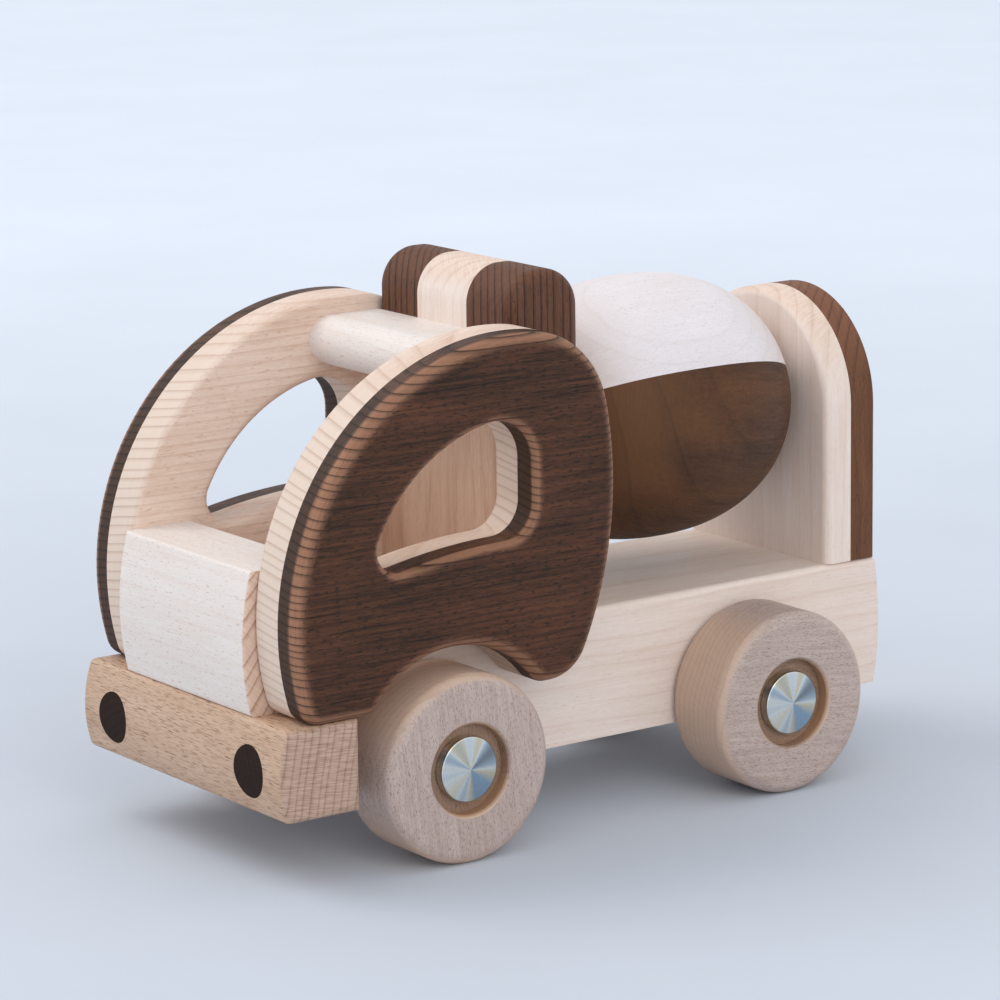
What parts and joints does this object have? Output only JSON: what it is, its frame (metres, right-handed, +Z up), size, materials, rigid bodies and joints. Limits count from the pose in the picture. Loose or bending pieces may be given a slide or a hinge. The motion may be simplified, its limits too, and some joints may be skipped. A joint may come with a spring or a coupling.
{
  "type": "toy cement mixer truck",
  "caption": "Wooden toy cement mixer truck: open cab with D-shaped windows, roof board and beacon bar, turning egg-shaped drum and free-rolling wheels on metal axles.",
  "frame": {"origin": "on the floor under the middle of the truck (middle of the bounding box's base)", "axes": "+X forward, +Y to the truck's left side, +Z up"},
  "size_m": [0.1832, 0.0918, 0.1279],
  "materials": {
    "maple": "fine sanded, matt oil",
    "beech": "fine sanded, matt oil",
    "wheel_beech": "turned and sanded",
    "dark_wood": "heat-treated, oiled",
    "cap_metal": "bright zinc plate",
    "steel_rod": "drawn bright steel"
  },
  "bodies": {
    "truck": {"chassis_block": "maple", "hood_block": "maple", "cab_back_wall": "maple", "roof_board": "maple", "beacon_block_centre": "maple", "rear_arch_front_board": "maple", "drum_dowel": "maple", "cab_side_left_inner": "beech", "cab_side_right_inner": "beech", "bumper_block": "beech", "cab_side_left_outer": "dark_wood", "cab_side_right_outer": "dark_wood", "headlight_plug_left": "dark_wood", "headlight_plug_right": "dark_wood", "beacon_block_left": "dark_wood", "beacon_block_right": "dark_wood", "rear_arch_rear_board": "dark_wood"},
    "drum": {"drum_light_half": "maple", "drum_dark_half": "dark_wood"},
    "axle_front": {"axle_rod_front": "steel_rod", "axle_cap_front_left": "cap_metal", "axle_cap_front_right": "cap_metal"},
    "axle_rear": {"axle_rod_rear": "steel_rod", "axle_cap_rear_left": "cap_metal", "axle_cap_rear_right": "cap_metal"},
    "wheel_front_left": {"wheel_front_left": "wheel_beech"},
    "wheel_front_right": {"wheel_front_right": "wheel_beech"},
    "wheel_rear_left": {"wheel_rear_left": "wheel_beech"},
    "wheel_rear_right": {"wheel_rear_right": "wheel_beech"}
  },
  "joints": [
    {"name": "drum_spin", "type": "hinge", "parent": "truck", "child": "drum", "pos_m": [-0.03775, 0, 0.0874], "axis": [1, 0, 0], "continuous": true},
    {"name": "axle_front_spin", "type": "hinge", "parent": "truck", "child": "axle_front", "pos_m": [0.04375, 0, 0.02175], "axis": [0, 1, 0], "continuous": true},
    {"name": "axle_rear_spin", "type": "hinge", "parent": "truck", "child": "axle_rear", "pos_m": [-0.04875, 0, 0.02175], "axis": [0, 1, 0], "continuous": true},
    {"name": "wheel_front_left_spin", "type": "hinge", "parent": "axle_front", "child": "wheel_front_left", "pos_m": [0.04375, 0.0365, 0.02175], "axis": [0, 1, 0], "continuous": true},
    {"name": "wheel_front_right_spin", "type": "hinge", "parent": "axle_front", "child": "wheel_front_right", "pos_m": [0.04375, -0.0365, 0.02175], "axis": [0, 1, 0], "continuous": true},
    {"name": "wheel_rear_left_spin", "type": "hinge", "parent": "axle_rear", "child": "wheel_rear_left", "pos_m": [-0.04875, 0.0365, 0.02175], "axis": [0, 1, 0], "continuous": true},
    {"name": "wheel_rear_right_spin", "type": "hinge", "parent": "axle_rear", "child": "wheel_rear_right", "pos_m": [-0.04875, -0.0365, 0.02175], "axis": [0, 1, 0], "continuous": true}
  ]
}
